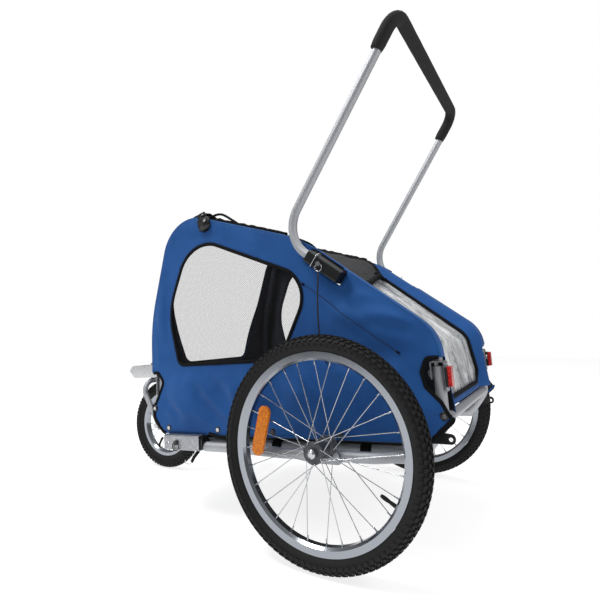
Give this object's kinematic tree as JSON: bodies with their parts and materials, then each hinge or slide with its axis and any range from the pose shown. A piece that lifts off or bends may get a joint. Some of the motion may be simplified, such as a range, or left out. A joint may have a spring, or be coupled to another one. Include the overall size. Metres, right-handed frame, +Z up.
{
  "type": "dog bike trailer",
  "caption": "Two-wheeled cloth cabin trailer for a dog, in stroller trim with a swivelling front wheel on an arm and a push handle.",
  "frame": {"origin": "on the ground under the middle of the overall length and width", "axes": "+X forward, towards the front wheel; +Y to the left; +Z up"},
  "size_m": [1.2805, 0.8086, 1.2573],
  "materials": {
    "tyre_rubber": "matte",
    "rim_alloy": "satin",
    "hub_alloy": "satin",
    "spoke_steel": "bright",
    "fastener_steel": "zinc plated",
    "frame_alloy": "satin",
    "bracket_steel": "galvanised",
    "black_plastic": "matte",
    "floor_ply": "matte",
    "blue_cloth": "woven",
    "black_mesh": "open mesh",
    "clear_pvc": "glossy clear film",
    "foam_grip": "foam",
    "red_lens": "glossy",
    "amber_lens": "glossy",
    "black_cord": "braided"
  },
  "bodies": {
    "chassis": {"left_base_tube": "frame_alloy", "left_outrigger": "frame_alloy", "left_side_hoop": "frame_alloy", "left_side_panel": "blue_cloth", "left_handle_socket": "black_plastic", "right_base_tube": "frame_alloy", "right_outrigger": "frame_alloy", "right_side_hoop": "frame_alloy", "right_side_panel": "blue_cloth", "right_handle_socket": "black_plastic", "axle_lugs": "bracket_steel", "rear_axles": "fastener_steel", "front_cross_tubes": "frame_alloy", "axle_cross_tube": "frame_alloy", "rear_cross_tube": "frame_alloy", "roof_bows": "frame_alloy", "fold_brackets": "bracket_steel", "fold_bolts": "fastener_steel", "floor_board": "floor_ply", "tow_receiver": "bracket_steel", "receiver_spacer": "black_plastic", "window_meshes": "black_mesh", "front_panel": "blue_cloth", "roof_panel": "blue_cloth", "rear_panel": "blue_cloth", "front_door_mesh": "black_mesh", "rear_window": "clear_pvc", "press_studs": "fastener_steel", "reflector_bases": "black_plastic", "red_reflectors": "red_lens", "tie_eyelets": "black_plastic", "handle_tube": "frame_alloy", "handle_grip": "foam_grip", "front_arm": "bracket_steel", "arm_plate": "bracket_steel", "arm_bolts": "fastener_steel", "head_tube": "bracket_steel", "pin_lanyard": "black_cord", "lanyard_tab": "black_plastic"},
    "left_wheel": {"left_tyre": "tyre_rubber", "left_rim": "rim_alloy", "left_hub": "hub_alloy", "left_spokes": "spoke_steel", "left_spoke_reflector": "amber_lens"},
    "right_wheel": {"right_tyre": "tyre_rubber", "right_rim": "rim_alloy", "right_hub": "hub_alloy", "right_spokes": "spoke_steel", "right_spoke_reflector": "amber_lens"},
    "front_wheel": {"front_tyre": "tyre_rubber", "front_rim": "rim_alloy", "front_hub": "hub_alloy", "front_spokes": "spoke_steel"},
    "fork": {"fork": "frame_alloy", "stem_nut": "fastener_steel", "front_axle": "fastener_steel"},
    "left_pin": {"left_handle_pin": "fastener_steel"},
    "right_pin": {"right_handle_pin": "fastener_steel"},
    "tow_pin": {"tow_pin": "fastener_steel"}
  },
  "joints": [
    {"name": "left_wheel_spin", "type": "hinge", "parent": "chassis", "child": "left_wheel", "pos_m": [-0.37002, 0.3635, 0.247], "axis": [0, 1, 0], "continuous": true},
    {"name": "right_wheel_spin", "type": "hinge", "parent": "chassis", "child": "right_wheel", "pos_m": [-0.37002, -0.3635, 0.247], "axis": [0, 1, 0], "continuous": true},
    {"name": "fork_swivel", "type": "hinge", "parent": "chassis", "child": "fork", "pos_m": [0.54314, 0, 0.34064], "axis": [0.0785, 0, 0.9969], "continuous": true},
    {"name": "front_wheel_spin", "type": "hinge", "parent": "fork", "child": "front_wheel", "pos_m": [0.46098, 0, 0.1555], "axis": [0, 1, 0], "continuous": true},
    {"name": "left_pin_pull", "type": "slide", "parent": "chassis", "child": "left_pin", "axis": [0, 1, 0], "range_m": [0, 0.065], "deforming": ["pin_lanyard"]},
    {"name": "right_pin_pull", "type": "slide", "parent": "chassis", "child": "right_pin", "axis": [0, -1, 0], "range_m": [0, 0.065]},
    {"name": "tow_pin_pull", "type": "slide", "parent": "chassis", "child": "tow_pin", "axis": [0, 1, 0], "range_m": [0, 0.04]}
  ]
}
